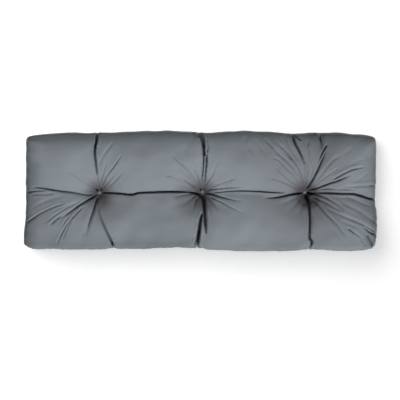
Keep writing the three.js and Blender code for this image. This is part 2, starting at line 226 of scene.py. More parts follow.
# The folds of the front. Their points are in millimetres from the middle of the cushion.
FRONT_FOLDS = [
    # Round the left tuft: the deep creases up, to the right, to the left and down.
    fold((-345, 6), (-346, 24), (-349, 42), (-351, 62),
         sink=(4, 5), gap=(0.5, 1), lip=5, dale=4, spread=(10, 30)),
    fold(
        (-350, 50), (-351, 66), (-353, 80), (-355, 100), (-358, 124), (-357, 142), (-355, 160), (-351, 182),
        (-350, 216),
        sink=(8, 25), gap=(2, 8), lip=(4, 6), dale=5, spread=(8, 40), runs_over=True,
    ),
    fold((-342, 216), (-344, 200), (-348, 190), (-354, 176),
         sink=(11, 6), gap=(4, 2), lip=5, runs_over=True),
    fold((-349, 152), (-346, 140), (-349, 122), sink=(3, 2), gap=1, lip=4),
    fold(*along_row(-333, -12), (-1, -20),
         sink=(13, 16), gap=(4, 5), lip=(6, 4), ridge=0, dale=6, spread=(36, 10)),
    fold(*along_row(-572, -352)[::-1], sink=(5, 12), gap=(1, 3), dale=5, spread=(10, 34)),
    fold((-610, -6), (-592, -6), (-575, -4), (-555, -1), (-532, 0),
         sink=(7, 3), gap=(2, 1), runs_over=True),
    fold(
        (-352, -15), (-376, -29), (-398, -42), (-418, -55), (-434, -67), (-447, -76), (-464, -87),
        (-482, -98),
        sink=(13, 3), gap=(4, 1), lip=(7, 5), ridge=(0.1, 0.2), dale=3, spread=(24, 12),
    ),
    fold((-472, -86), (-484, -94), (-496, -104), (-510, -117), sink=4, gap=(1, 1.5), ridge=0.3),
    fold((-610, -122), (-588, -107), (-566, -91), (-545, -78), (-520, -65), (-496, -54), (-472, -46),
         sink=(8, 3), gap=(2, 1), lip=(5, 11), ridge=(0.2, 0.05), runs_over=True),
    fold((-524, -108), (-506, -94), (-488, -80), (-462, -64), (-438, -52), (-414, -44),
         sink=(3, 4), lip=(11, 6), ridge=(0.1, 0.5)),
    fold((-500, -72), (-480, -62), (-456, -54), (-430, -44), (-404, -34), sink=3, lip=7, ridge=0.4),
    fold(
        (-400, -56), (-412, -69), (-426, -84), (-441, -101), (-455, -120), (-465, -138), (-474, -155),
        (-488, -184),
        sink=(4, 5.5), gap=(1, 1.5), lip=5, ridge=(0.3, 0.4),
    ),
    fold((-436, -104), (-446, -116), (-454, -134), (-462, -152), (-468, -166), sink=3.5, gap=1, lip=4),
    fold((-448, -92), (-460, -106), (-467, -121), sink=(3, 2.5), gap=(1, 0), lip=5, ridge=0.3),
    fold((-470, -20), (-505, -29), (-540, -42), (-572, -60), sink=(3, 4), lip=10),
    fold((-500, -8), (-522, -12), (-548, -12), (-575, -14), sink=(3, 4), lip=7, ridge=0.4),
    fold((-600, 140), (-598, 90), (-598, 40), (-600, -20), sink=0, gap=2, dale=15, spread=(80, 30)),
    fold((-400, -148), (-402, -160), (-396, -176), sink=3, lip=8),
    fold(
        (-349, -22), (-355, -42), (-361, -62), (-367, -80), (-373, -97), (-379, -116), (-384, -136),
        (-388, -154),
        sink=(11, 5), gap=(3, 1), lip=(10, 13), dale=4, spread=26,
    ),
    fold((-360, -50), (-366, -70), (-368, -90), sink=(4, 2), gap=1, lip=5, ridge=0.3),
    fold(
        (-350, -48), (-345, -70), (-338, -92), (-328, -115), (-318, -138), (-306, -162), (-295, -186),
        (-288, -212),
        sink=(6, 15), gap=(1, 4.5), lip=(6, 5), runs_over=True,
    ),
    # Its fan of small folds.
    fold((-334, 16), (-327, 32), (-319, 48), (-308, 62), (-297, 76), (-286, 91), (-276, 107), (-266, 121),
         sink=(4, 5), gap=(1, 1.5), lip=5, ridge=(0.5, 0.3)),
    fold((-345, 84), (-338, 100), (-328, 118), (-318, 133), (-306, 150), (-294, 164),
         sink=(2, 5), gap=(0, 1), lip=9),
    fold((-339, 26), (-333, 48), (-327, 68), (-320, 92), sink=(4, 3), ridge=0.4),
    fold((-330, 10), (-318, 22), (-305, 38), (-291, 55), sink=(4, 3), lip=5, ridge=0.4),
    fold((-314, 10), (-299, 24), (-287, 36), (-275, 49), (-262, 63), sink=(3, 4), gap=(0, 1), ridge=0.3),
    fold((-356, 4), (-374, 17), (-396, 33), (-420, 49), (-448, 67), sink=(5, 3), ridge=0.35),
    fold((-352, 12), (-366, 26), (-384, 40), (-406, 54), sink=(5, 3), ridge=0.35),
    fold((-351, 20), (-361, 42), (-378, 66), (-394, 84), sink=3, lip=7),
    fold((-356, 8), (-350, 2), (-346, -3), sink=(8, 7), gap=(3, 2.5), lip=4),
    fold((-338, 9), (-336, 4), (-337, -1), sink=(8, 7), gap=(3, 2.5), lip=4),
    # Round the middle tuft: the deep creases up, down and to the right.
    fold((-14, 216), (-8, 201), (3, 190), (9, 177), (12, 158), (13, 138), (14, 122),
         sink=(26, 13), gap=(12, 6), lip=(4, 8), dale=3, spread=(12, 36), runs_over=True),
    fold((14, 125), (20, 120), (26, 121), sink=(10, 6), gap=(4, 2), lip=5),
    fold((21, 176), (25, 156), (25, 138), (23, 120), sink=(4, 6), gap=(1, 2), lip=5, ridge=0.3),
    fold((13, 124), (12, 100), (11, 80), (9, 60), (7, 42), (6, 16),
         sink=(13, 6), gap=(4, 2), lip=4, dale=9, spread=(18, 24)),
    fold((22, 122), (22, 98), (20, 76), (18, 56), (16, 38), (13, 14), sink=(12, 6), gap=(4, 2), lip=(4, 6)),
    fold((9, -16), (12, -34), (14, -62), (16, -90), (18, -118), (21, -148),
         sink=(20, 9), gap=(10, 6), lip=8, dale=8, spread=(36, 34)),
    fold((8, -76), (4, -90), (0, -108), (-3, -134), (-8, -164), (-11, -184), (-6, -214),
         sink=(14, 32), gap=(6, 10), dale=3, spread=20, runs_over=True),
    fold((-36, -6), (-16, -9), (0, -15), (9, -26), (13, -44), sink=(12, 20), gap=(4, 10), ridge=0),
    fold((20, 2), (44, 5), (66, 7), (84, 9), (118, 11), (150, 13), sink=(7, 5), gap=(1, 1.5), ridge=0.2),
    fold(*along_row(28, 300), sink=(5, 11), gap=(1, 4), lip=(7, 4), ridge=0, dale=6, spread=(36, 26)),
    fold((20, -8), (40, -12), (60, -18), (80, -24), (102, -29), (124, -33), (148, -34),
         sink=(11, 2), gap=(3, 0.5), lip=(6, 5), ridge=0.1),
    fold((36, -22), (56, -31), (76, -40), (96, -52), (114, -61), (132, -69), (148, -74),
         sink=(7, 3), gap=1, lip=5, ridge=(0.5, 0.2)),
    fold((24, -20), (38, -36), (50, -50), (60, -66), sink=(7, 3), gap=1, lip=8),
    fold((18, -34), (30, -56), (36, -78), sink=(5, 2), lip=9),
    # Its fan.
    fold((-114, 51), (-100, 49), (-84, 43), (-68, 34), (-52, 24),
         sink=(4, 3), gap=(1, 0), lip=5, ridge=0.3),
    fold((-56, 39), (-45, 30), (-34, 23), (-22, 14), (-10, 6), sink=(4, 7), gap=(1, 2), lip=5, ridge=0.3),
    fold((-74, 75), (-62, 67), (-50, 56), (-36, 46), (-20, 32), sink=4, lip=5, ridge=0.5),
    fold((-90, 120), (-78, 105), (-62, 90), (-48, 76), (-36, 60), (-22, 40), (-8, 18),
         sink=(4, 5), gap=(0, 1), ridge=0.5),
    fold((-20, 72), (-12, 58), (-6, 42), (-2, 22), (1, 8), sink=(5, 6), gap=1, lip=4, ridge=0.3),
    fold((-54, 148), (-40, 122), (-26, 96), (-14, 72), sink=3, lip=8, ridge=0.4),
    fold((-104, 78), (-80, 66), (-56, 52), (-34, 36), sink=(2.5, 3), ridge=0.3),
    fold((-64, 16), (-40, 10), (-16, 2), sink=(3, 6), gap=(0, 1), lip=5),
    fold((-96, 2), (-66, 2), (-36, 1), (-12, -3), sink=(3, 9), gap=(0, 2), lip=8, ridge=0.1),
    fold((49, 64), (38, 47), (27, 32), (15, 12), sink=(4, 6), gap=(0, 1), lip=5, ridge=0.3),
    fold((120, 42), (94, 33), (62, 22), (26, 6), sink=(3, 5), ridge=0.3),
    fold((60, 96), (46, 70), (30, 44), sink=(2.5, 3), lip=8),
    fold((0, 6), (3, 3), (5, 1), sink=7, gap=2.5, lip=4),
    fold((14, 6), (13, 3), (12, 1), sink=7, gap=2.5, lip=4),
    fold((-88, -22), (-66, -16), (-40, -12), (-12, -10), sink=(2, 6), gap=(0, 1), lip=9),
    fold((-62, -50), (-40, -34), (-20, -20), (-6, -12), sink=(2, 6), gap=(0, 2), lip=12),
    fold((-26, -70), (-18, -44), (-8, -22), sink=(2, 7), gap=(0, 2), lip=10),
    # Round the right tuft: the deep creases to the left, up, to the right and down.
    fold((350, -8), (330, -10), (310, -13), (288, -18), (262, -23), (238, -25), (214, -23),
         sink=(15, 5), gap=(6, 1.5), lip=(4, 7), ridge=0, dale=4, spread=(10, 30)),
    fold(
        (308, 216), (312, 198), (316, 184), (323, 163), (331, 147), (338, 132), (345, 117), (350, 104),
        (355, 92),
        sink=(20, 7), gap=(8, 1), lip=5, dale=4, spread=20, runs_over=True,
    ),
    fold((354, 96), (357, 78), (358, 58), (359, 36), (357, 12), sink=(5, 6), gap=1, lip=5, ridge=0.3),
    fold((262, 166), (272, 152), (285, 141), (296, 129), (306, 113), (317, 102), (328, 88),
         sink=(4, 6), gap=(1, 2), lip=5, ridge=(0.5, 0.3)),
    fold((316, 104), (328, 87), (337, 70), (343, 52), (348, 34), (351, 14),
         sink=(5, 6), gap=(1, 1.5), lip=5, ridge=(0.3, 0.5)),
    fold(
        (361, 4), (368, 14), (377, 28), (386, 43), (393, 57), (401, 73), (407, 87), (413, 100), (419, 112),
        (424, 126), (428, 138),
        sink=(11, 8), gap=2.5, ridge=0.1, dale=4, spread=26,
    ),
    fold((430, 157), (426, 147), (420, 136), (414, 124), (408, 111), (403, 97),
         sink=(10, 6), gap=(3, 1.5), lip=(5, 6)),
    fold((403, 216), (406, 198), (409, 184), (412, 168), (414, 150),
         sink=(17, 6), gap=(5, 1), lip=(17, 14), dale=14, spread=(70, 34), runs_over=True),
    fold((366, 1), (394, 7), (420, 17), (444, 26), (462, 31), (480, 38), (497, 46), (516, 55),
         sink=(12, 6), gap=2, lip=5, ridge=0.2, dale=3, spread=16),
    fold((454, 38), (478, 52), (500, 63), (518, 71), (538, 76), (560, 81),
         gap=1.5, lip=(8, 5), ridge=(0.9, 0.2)),
    fold((518, 92), (534, 101), (550, 105), (568, 107), sink=(2, 3), ridge=0.3),
    fold((492, 12), (520, 13), (550, 15), (580, 17), (606, 18),
         sink=(4, 5), gap=(0, 0.5), lip=(10, 9), ridge=(0.6, 0.1), runs_over=True),
    fold((404, 4), (430, 6), (460, 5), (496, 4), (532, 3), sink=(7, 5), gap=(1, 0.5), ridge=0.1),
    fold((362, -7), (376, -10), (400, -9), sink=(14, 8), gap=(12, 3), lip=7),
    fold(*along_row(394, 606),
         sink=(11, 14), gap=(3, 5), lip=(7, 5), dale=5, spread=(30, 22), runs_over=True),
    fold(
        (364, -14), (368, -34), (371, -64), (373, -98), (372, -130), (371, -154), (374, -164), (379, -172),
        (376, -186), (370, -198), (368, -214),
        sink=(20, 14), gap=(6, 3.5), lip=5, dale=5, spread=26, runs_over=True,
    ),
    # Its fan above.
    fold((222, 174), (246, 148), (270, 122), (298, 98), (324, 66), (344, 30),
         sink=(4, 5), lip=8, ridge=0.4),
    fold((190, 170), (206, 146), (220, 128), (230, 104), sink=(4, 2), lip=9, ridge=0.3),
    fold((248, 112), (266, 104), (282, 88), (298, 72), (318, 54), (338, 26), sink=(3, 5), ridge=0.4),
    fold((262, 76), (280, 56), (304, 36), (332, 14), sink=(3, 5), ridge=0.4),
    fold((288, 184), (302, 154), (318, 128), (332, 104), sink=(4, 3), lip=7, ridge=0.3),
    fold((240, 44), (276, 32), (312, 16), (340, 2), sink=(4, 6), gap=(0, 1), lip=7),
    fold((154, 180), (164, 154), (176, 132), (186, 116), sink=(4, 3), lip=11, ridge=0.3),
    fold((366, 168), (367, 146), (370, 124), (375, 106), (380, 88),
         sink=(5, 3), gap=(1, 0), lip=5, ridge=0.4),
    fold((362, 104), (365, 82), (364, 58), (361, 22), sink=(3, 5), gap=(0, 1), lip=5, ridge=0.3),
    fold((390, 158), (396, 134), (400, 116), sink=(3, 2.5)),
    fold((384, 96), (382, 70), (374, 40), (366, 18), sink=(2.5, 4), ridge=0.3),
    fold((476, 118), (456, 107), (440, 92), (424, 72), (408, 50), (390, 28), sink=(3, 4), lip=9, ridge=0.5),
    fold((512, 142), (498, 128), (480, 118), sink=(4, 2), lip=9),
    fold((470, 76), (446, 60), (420, 42), (392, 20), sink=(2.5, 4), ridge=0.4),
    fold((538, 36), (556, 48), (572, 62), sink=(2, 4), lip=9),
    # And its fan below.
    fold((382, -10), (404, -15), (424, -22), (444, -32), (460, -41), (474, -50), (488, -62),
         sink=(8, 3), gap=(1.5, 0.5), lip=9, ridge=(0.2, 0.3)),
    fold((378, -18), (402, -29), (424, -38), (442, -48), (458, -59), (476, -70),
         sink=(7, 2.5), gap=(1, 0), lip=9, ridge=(0.3, 0.2)),
    fold(
        (374, -22), (388, -36), (404, -50), (420, -68), (436, -86), (452, -101), (468, -118), (482, -138),
        (500, -158),
        sink=(7, 4), gap=(1.5, 1), lip=8, ridge=0.25,
    ),
    fold((436, -62), (462, -76), (488, -87), (510, -96), (532, -105), (554, -115), (580, -130), (606, -148),
         sink=(2.5, 7), gap=(0, 1), lip=(11, 9), ridge=0.2, runs_over=True),
    fold((482, -40), (506, -52), (528, -63), (550, -75), (574, -92), (606, -114),
         sink=(3, 5), gap=(0, 0.5), lip=(13, 10), ridge=0.25, runs_over=True),
    fold((504, -22), (530, -33), (556, -44), (582, -54), sink=(2.5, 5), lip=9),
    fold((484, -104), (500, -112), (524, -120), (550, -132), sink=3, lip=8, ridge=0.3),
    fold((503, -128), (520, -141), (536, -150), (560, -168), sink=(6, 3), gap=(2, 0), ridge=0.3),
    fold((456, -134), (466, -150), (478, -170), sink=3, lip=7),
    fold((544, -160), (556, -176), (566, -192), sink=4, gap=1),
    fold((556, -122), (574, -137), (588, -146), (606, -153),
         sink=(4, 9), gap=(1, 4), lip=8, runs_over=True),
    fold((570, -150), (581, -166), (592, -186), (602, -204),
         sink=(7, 15), gap=(4, 8), lip=10, runs_over=True),
    fold((300, -72), (320, -50), (342, -24), sink=(1.5, 5), lip=13),
    fold((266, -46), (300, -36), (338, -18), sink=(1.5, 5), lip=11),
    fold((334, -84), (346, -56), (358, -24), sink=(1.5, 5), lip=11),
    fold((358, -8), (362, -20), (367, -34), (369, -52), sink=(20, 12), gap=(14, 5), lip=(16, 20), ridge=0),
    fold((316, 208), (322, 192), (331, 182), (342, 173), sink=(15, 5), gap=(6, 2), lip=5, runs_over=True),
    fold((376, 206), (386, 195), (400, 188), sink=(7, 4), gap=(2, 1), lip=5, runs_over=True),
]

random = np.random.default_rng(7)
GATHER_START = 7  # how far from its tuft a gather starts


def gathers(tuft, count, longest, deepest):
    """Short pleats that run out from a tuft all round, no two alike."""
    pleats = []
    for turn in range(count):
        angle = 2 * math.pi * (turn + random.uniform(-0.3, 0.3)) / count
        reach = random.uniform(0.4, 1) * longest
        bend = angle + random.uniform(-0.25, 0.25)
        points = [
            (tuft.x + radius * math.cos(at), tuft.y + radius * math.sin(at))
            for radius, at in (
                (GATHER_START, angle), (GATHER_START + reach / 2, angle), (GATHER_START + reach, bend)
            )
        ]
        deep = random.uniform(0.5, 1) * deepest
        pleats.append(fold(*points, sink=(deep, 0.3 * deep), lip=random.uniform(4, 7), ridge=0.3))
    return pleats


for tuft in tufts:
    FRONT_FOLDS += gathers(tuft, count=17, longest=34, deepest=4.5)

# The folds of the back run from each tuft to the next, to both ends and to both long edges.
BACK_FOLDS = []
for tuft, beyond in zip(tufts, [tuft.x for tuft in tufts[1:]] + [half_length]):
    for end in ((beyond, tuft.y), (tuft.x, half_height + 10), (tuft.x, -half_height - 10)):
        start = np.array([tuft.x, tuft.y])
        way = np.array(end) - start
        aside = np.array([-way[1], way[0]]) / np.hypot(*way)
        bent = [start + way * share + aside * random.uniform(-6, 6) for share in (0.25, 0.5, 0.75)]
        points = [start + 8 * way / np.hypot(*way), *bent, end]
        BACK_FOLDS.append(fold(*points, sink=(12, 5), gap=(3, 0.5), lip=18, runs_over=end[0] == tuft.x))
    BACK_FOLDS += gathers(tuft, count=11, longest=95, deepest=6)
to_left_end = [(tufts[0].x - 8, tufts[0].y), (-440, -2), (-520, -8), (-half_length - 8, 2)]
BACK_FOLDS.append(fold(*to_left_end, sink=(12, 6), gap=(3, 2), lip=18, runs_over=True))

# How far in from the outline the panels start to roll over into the band, at each edge, and the angle
# above or below level at which the seams lie on that roll.
UPPER_ROLL = [(120, 60), (430, 98), (580, 90)]  # from one place along x to another
LOWER_ROLL = 7
LEFT_ROLL = 66
RIGHT_ROLL = 52
FRONT_ROLL_DEPTH = 56
BACK_ROLL_DEPTH = 36
SEAM_ANGLE = math.radians(25)
UPPER_SQUARENESS = 12  # how square the corners are seen from the front: 2 is round
LOWER_SQUARENESS = 2.6


def rolled_box(cube):
    """For places on a cube of side 2: the nearest points of the box inside the rolled edges, and the
    direction out from there, in rolls."""
    plan_x, plan_y = cube[:, 0] * half_length, cube[:, 1] * half_height
    upper_roll = eased(plan_x, UPPER_ROLL)
    inner_x = np.clip(plan_x, LEFT_ROLL - half_length, half_length - RIGHT_ROLL)
    inner_y = np.clip(plan_y, LOWER_ROLL - half_height, half_height - upper_roll)
    edge_height = filled_height(inner_x, inner_y)
    height = (cube[:, 2] + 1) / 2 * edge_height
    inner_z = np.clip(height, BACK_ROLL_DEPTH, edge_height - FRONT_ROLL_DEPTH)
    inner = np.stack([inner_x, inner_y, inner_z], axis=1)
    roll_x = np.where(plan_x < 0, LEFT_ROLL, RIGHT_ROLL)
    roll_y = np.where(plan_y < 0, LOWER_ROLL, upper_roll)
    roll_z = np.where(cube[:, 2] > 0, FRONT_ROLL_DEPTH, BACK_ROLL_DEPTH)
    roll = np.stack([roll_x, roll_y, roll_z], axis=1)
    out = (np.stack([plan_x, plan_y, height], axis=1) - inner) / roll
    power = np.where(cube[:, 1] > 0, UPPER_SQUARENESS, LOWER_SQUARENESS)
    plan = np.maximum((np.abs(out[:, 0]) ** power + np.abs(out[:, 1]) ** power) ** (1 / power), 1e-9)
    lift = np.arctan2(out[:, 2], plan)
    level, seam, upright = (0, 0), (math.pi / 4, SEAM_ANGLE), (math.pi / 2, math.pi / 2)
    lift = np.sign(lift) * np.interp(np.abs(lift), *zip(level, seam, upright))
    out[:, :2] *= (np.cos(lift) / plan)[:, None]
    out[:, 2] = np.sin(lift)
    return inner, out, roll


def outward(cube):
    """Direction out of the stuffed form at each place, as if it had no tufts or folds."""
    inner, out, roll = rolled_box(cube)
    normal = out / roll
    return normal / np.maximum(np.linalg.norm(normal, axis=1, keepdims=True), 1e-9)


def dales(x, y):
    """Depth of the broad troughs that the deep folds lie in."""
    depth = np.zeros_like(x)
    for each in FRONT_FOLDS:
        if each["dale"]:
            offset, share, near = to_path(x, y, each["path"], max(each["spread"]))
            trough = each["dale"] * dip(np.abs(offset), np.where(offset > 0, *each["spread"]))
            if not max(each["sink"]):
                trough *= smoothstep(np.minimum(share, 1 - share), 0, 0.35)
            depth[near] = np.maximum(depth[near], trough)
    return depth


def filled_form(cube):
    """Places of the filled cushion's cloth, from places on a cube of side 2."""
    inner, out, roll = rolled_box(cube)
    box_x, box_y, z = (inner + out * roll).T
    x = drawn_in(box_x, half_length, np.where(box_x < 0, eased(box_y, LEFT_EDGE), eased(box_y, RIGHT_EDGE)))
    lower_edge, upper_edge = long_edge(x, LOWER_EDGE, LOWER_CORNERS), long_edge(x, UPPER_EDGE, UPPER_CORNERS)
    y = drawn_in(box_y, half_height, np.where(box_y < 0, lower_edge, upper_edge))
    facing = out[:, 2]
    facing_front = np.maximum(0, facing)
    z = z - facing_front * dales(x, y)
    down = np.maximum(0, from_tufts(x, y, LOWER_WELL) - SEAT_RADIUS)
    pull = (dip(down, FRONT_WELL) + dip(down, FRONT_FUNNEL)) / 2
    z = z + facing_front * pull * (front_seat - z)
    away = np.maximum(0, from_tufts(x, y) - SEAT_RADIUS)
    back_pull = np.where(facing < -0.99, dip(away, BACK_WELL), 0)
    z = z + back_pull * (back_seat - z)
    return np.stack([x, y, z], axis=1)


CELL = 7.4  # side of the cloth's cells while it settles
SEAM_CELLS = (0, 2, 5.5)  # the first cells beside a seam are narrower: distances of their lines
BAND_ROWS = 18
BAND_CHART = 120  # how wide the band lies on the chart that its wrinkles are drawn on
BAND_WEAVE = 140  # how wide it lies in its weave
columns = 2 * round(half_length / CELL)
rows = 2 * round(half_height / CELL)


def deselect():
    bpy.ops.object.select_all(action="DESELECT")


def places(piece, kept="position"):
    """Where each point of a piece is, or the place that it keeps under another name."""
    found = np.empty(len(piece.data.vertices) * 3)
    piece.data.attributes[kept].data.foreach_get("vector", found)
    return found.reshape(-1, 3)


def move_to(piece, points):
    piece.data.vertices.foreach_set("co", points.ravel())
    piece.data.update()


def crowded(value, cells, half):
    """Grid lines from -1 to 1, moved so that the first cells beside each end are narrower."""
    from_end = (1 - np.abs(value)) * cells / 2
    lines = (0, 1, 2, cells / 2)
    return np.sign(value) * (1 - np.interp(from_end, lines, (*SEAM_CELLS, half)) / half)


def sewn_cover():
    """The two panels and the band between them, sewn together on a cube of side 2."""
    deselect()
    bpy.ops.mesh.primitive_grid_add(x_subdivisions=columns, y_subdivisions=rows, size=2, location=(0, 0, 1))
    cover = bpy.context.object
    cover.name = "cushion_cover"
    bpy.ops.object.transform_apply(location=True, rotation=False, scale=False)
    bpy.ops.object.mode_set(mode="EDIT")
    bpy.ops.mesh.select_all(action="SELECT")
    bpy.ops.mesh.duplicate()
    bpy.ops.transform.translate(value=(0, 0, -2))
    bpy.ops.mesh.flip_normals()
    bpy.ops.mesh.select_all(action="DESELECT")
    bpy.ops.mesh.select_mode(type="EDGE")
    bpy.ops.mesh.select_non_manifold(extend=False)
    bpy.ops.mesh.bridge_edge_loops(number_cuts=BAND_ROWS - 1)
    bpy.ops.mesh.select_all(action="SELECT")
    bpy.ops.mesh.normals_make_consistent(inside=False)
    bpy.ops.object.mode_set(mode="OBJECT")
    bpy.ops.object.shade_smooth()
    return cover


def lay_out(piece, cube):
    """Lays the cloth's pieces out flat, in metres, for the weave."""
    corners = np.empty(len(piece.data.loops), dtype=int)
    piece.data.loops.foreach_get("vertex_index", corners)
    flat = cube[corners] * (half_length, half_height, BAND_WEAVE / 2) * MM
    normals = np.empty(len(piece.data.polygons) * 3)
    piece.data.polygons.foreach_get("normal", normals)
    sizes = np.empty(len(piece.data.polygons), dtype=int)
    piece.data.polygons.foreach_get("loop_total", sizes)
    faces = np.repeat(np.abs(normals.reshape(-1, 3)).argmax(axis=1), sizes)
    across = np.where(faces == 0, flat[:, 1], flat[:, 0])
    up = np.where(faces == 2, flat[:, 1], flat[:, 2])
    piece.data.uv_layers[0].data.foreach_set("uv", np.stack([across, up], axis=1).ravel())


cover = sewn_cover()
even = places(cover)
lay_out(cover, even)
steps = ((columns, half_length), (rows, half_height), (BAND_ROWS, BAND_CHART / 2))
cube = np.stack([crowded(even[:, axis], cells, half) for axis, (cells, half) in enumerate(steps)], axis=1)
# Each point keeps its place on the cube, through all later cuts.
cover.data.attributes.new("on_cube", "FLOAT_VECTOR", "POINT").data.foreach_set("vector", cube.ravel())
move_to(cover, filled_form(cube) * MM)

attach(cover, "root")
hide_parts("cushion")

SETTLE_FRAMES = 20
SETTLE_MOST = 22
SETTLE_SHARES = (0.12, 0.12, 0.45)  # how much of its way each point keeps, along x, y and z
SETTLE_EDGE = (10, 110)  # distances from the lower edge between which the cloth starts to keep its way
HELD_REACH = 30  # how far round a tuft the cloth is held
HELD_SEAMS = 0.9
CALM_REACH = 24  # how far beside a deep fold the settled cloth is smoothed
CALM_FROM = 20  # and how far from a tuft that starts
CALM_SHARE = 0.7
CALM_ROUNDS = 6


def settle(piece, cube):
    """Lets the stuffed cloth swell and wrinkle between its tufts, no further than SETTLE_MOST."""
    before = places(piece) / MM
    x, y = before[:, :2].T
    held = np.clip(1 - (from_tufts(x, y) - SEAT_RADIUS) / HELD_REACH, 0, 1)
    held[(np.abs(cube) > 0.999).sum(axis=1) > 1] = HELD_SEAMS
    group = piece.vertex_groups.new(name="held")
    for index in np.flatnonzero(held > 0.01):
        group.add([int(index)], float(held[index]), "REPLACE")

    cloth = piece.modifiers.new("Cloth", "CLOTH")
    settings = cloth.settings
    settings.quality = 5
    settings.mass = 0.2
    settings.tension_stiffness = 15
    settings.compression_stiffness = 15
    settings.shear_stiffness = 5
    settings.bending_stiffness = 0.3
    settings.shrink_min = -0.015
    settings.use_pressure = True
    settings.uniform_pressure_force = 4
    settings.effector_weights.gravity = 0
    settings.vertex_group_mass = "held"
    settings.pin_stiffness = 1
    cloth.point_cache.frame_start = 1
    cloth.point_cache.frame_end = SETTLE_FRAMES
    for frame_number in range(1, SETTLE_FRAMES + 1):
        bpy.context.scene.frame_set(frame_number)
    select_only(piece)
    bpy.ops.object.modifier_apply(modifier="Cloth")
    bpy.context.scene.frame_set(1)

    moved = places(piece) / MM - before
    length = np.linalg.norm(moved, axis=1, keepdims=True)
    moved *= SETTLE_SHARES * np.minimum(1, SETTLE_MOST / np.maximum(length, 1e-9))
    start, end = SETTLE_EDGE
    moved *= smoothstep(y, start - half_height, end - half_height)[:, None]
    after = before + moved
    after[:, 2] = np.maximum(after[:, 2], 0)
    move_to(piece, after * MM)
    near_folds = np.zeros(len(x))
    for each in FRONT_FOLDS:
        if each["dale"]:
            offset, share, near = to_path(x, y, each["path"], CALM_REACH)
            near_folds[near] = np.maximum(near_folds[near], 1 - np.abs(offset) / CALM_REACH)
    near_folds[cube[:, 2] < 0.99] = 0
    near_folds[from_tufts(x, y) < CALM_FROM] = 0
    smooth_out(piece, near_folds * CALM_SHARE, CALM_ROUNDS)


def select_only(piece):
    deselect()
    piece.select_set(True)
    bpy.context.view_layer.objects.active = piece


def smooth_out(piece, weights, rounds):
    """Draws each point towards the middle of its neighbours, by a weight from 0 to 1."""
    points = places(piece)
    ends = np.empty(len(piece.data.edges) * 2, dtype=int)
    piece.data.edges.foreach_get("vertices", ends)
    start, end = ends.reshape(-1, 2).T
    count = np.bincount(np.concatenate([start, end]), minlength=len(points))[:, None]
    for each_round in range(rounds):
        total = np.zeros_like(points)
        for axis in range(3):
            total[:, axis] += np.bincount(start, points[end, axis], len(points))
            total[:, axis] += np.bincount(end, points[start, axis], len(points))
        points += weights[:, None] * (total / count - points)
    move_to(piece, points)


settle(cover, cube)


def around(cube):
    """How far round the cushion each place is, in millimetres from the middle of the lower edge."""
    x, y = cube[:, 0] * half_length, cube[:, 1] * half_height
    to_end, to_long = half_length - np.abs(x), half_height - np.abs(y)
    right = half_length + half_height + y
    upper = 2 * half_length + 2 * half_height - x
    left = -half_length - half_height - y
    return np.where(to_end < to_long, np.where(x > 0, right, left), np.where(y < 0, x, upper))


def to_edges(cube):
    """How far in each place is from the ends, from the long edges, and from the nearer panel."""
    to_end, to_long = half_length * (1 - np.abs(cube[:, 0])), half_height * (1 - np.abs(cube[:, 1]))
    return to_end, to_long, BAND_CHART / 2 * (1 - np.abs(cube[:, 2]))


WRINKLE_STEP = 46
NEAR_BACK, NEAR_FRONT = 14, 104  # how far up the band the wrinkles from each of its seams start


def band_wrinkles():
    """Shallow slanting creases of the band, no two alike, that start near either of its seams."""
    wrinkles = []
    last = 0.49 * (2 * half_length + 2 * half_height)
    for start in np.arange(-last, last, WRINKLE_STEP):
        place = start + random.uniform(-20, 20)
        from_front = random.random() < 0.6
        lean = random.uniform(-26, 26)
        tall = random.uniform(22, 62)
        ends = (NEAR_FRONT, NEAR_FRONT - tall) if from_front else (NEAR_BACK, NEAR_BACK + tall)
        points = [(place, ends[0]), (place + lean * 0.4, (ends[0] + ends[1]) / 2), (place + lean, ends[1])]
        deep = random.uniform(2, 6)
        wrinkles.append(fold(*points, sink=(deep, 0.4 * deep), lip=random.uniform(7, 14), ridge=0.4))
    return wrinkles


BAND_WRINKLES = band_wrinkles()
# A fold of the front that runs over keeps this share of its depth at the seam. It gets shallower between
# these distances from the seam, and runs out on the band between these heights on the cube.
SHALLOWER = 0.88
SHALLOWER_WITHIN = (2, 24)
RUNS_DOWN = (-0.4, 0.95)
# The same for a fold of the back.
BACK_SHALLOWER = 0.6
RUNS_UP = (-0.1, -1)


def charts(cube, points):
    """The flat charts of the cloth that its folds are drawn on. Each has the folds, the places of all
    points on it, and two shares from 0 to 1 for each point: how much of a fold it gets, and how much of
    one that runs over."""
    x, y = points[:, :2].T
    front = cube[:, 2] > 0.999
    back = cube[:, 2] < -0.999
    band = ~front & ~back
    to_end, to_long, to_panel = to_edges(cube)
    on_front = SHALLOWER + (1 - SHALLOWER) * smoothstep(np.minimum(to_end, to_long), *SHALLOWER_WITHIN)
    over_front = np.where(front, on_front, SHALLOWER * smoothstep(cube[:, 2], *RUNS_DOWN) * band)
    over_back = np.where(back, 1, BACK_SHALLOWER * smoothstep(cube[:, 2], *RUNS_UP) * band)
    up_band = (cube[:, 2] + 1) * BAND_CHART / 2
    return [
        (FRONT_FOLDS, x, y, front.astype(float), over_front),
        (BACK_FOLDS, x, y, back.astype(float), over_back),
        (BAND_WRINKLES, around(cube), up_band, band.astype(float), band.astype(float)),
    ]


# The cells are halved three times. Each time has how far beside a fold that reaches, in lips, and how
# far round a tuft. The last time is for the tufts alone.
CUTS = ((1.3, 40), (0.6, 30), (0, 17))
CUT_MARGIN = 2.5  # how much further each time reaches beside a fold
SHALLOW = 0.5  # a fold less deep than this share of its lip is cut once
SEAM_CUT = 6.5  # how far beside a seam the first time reaches


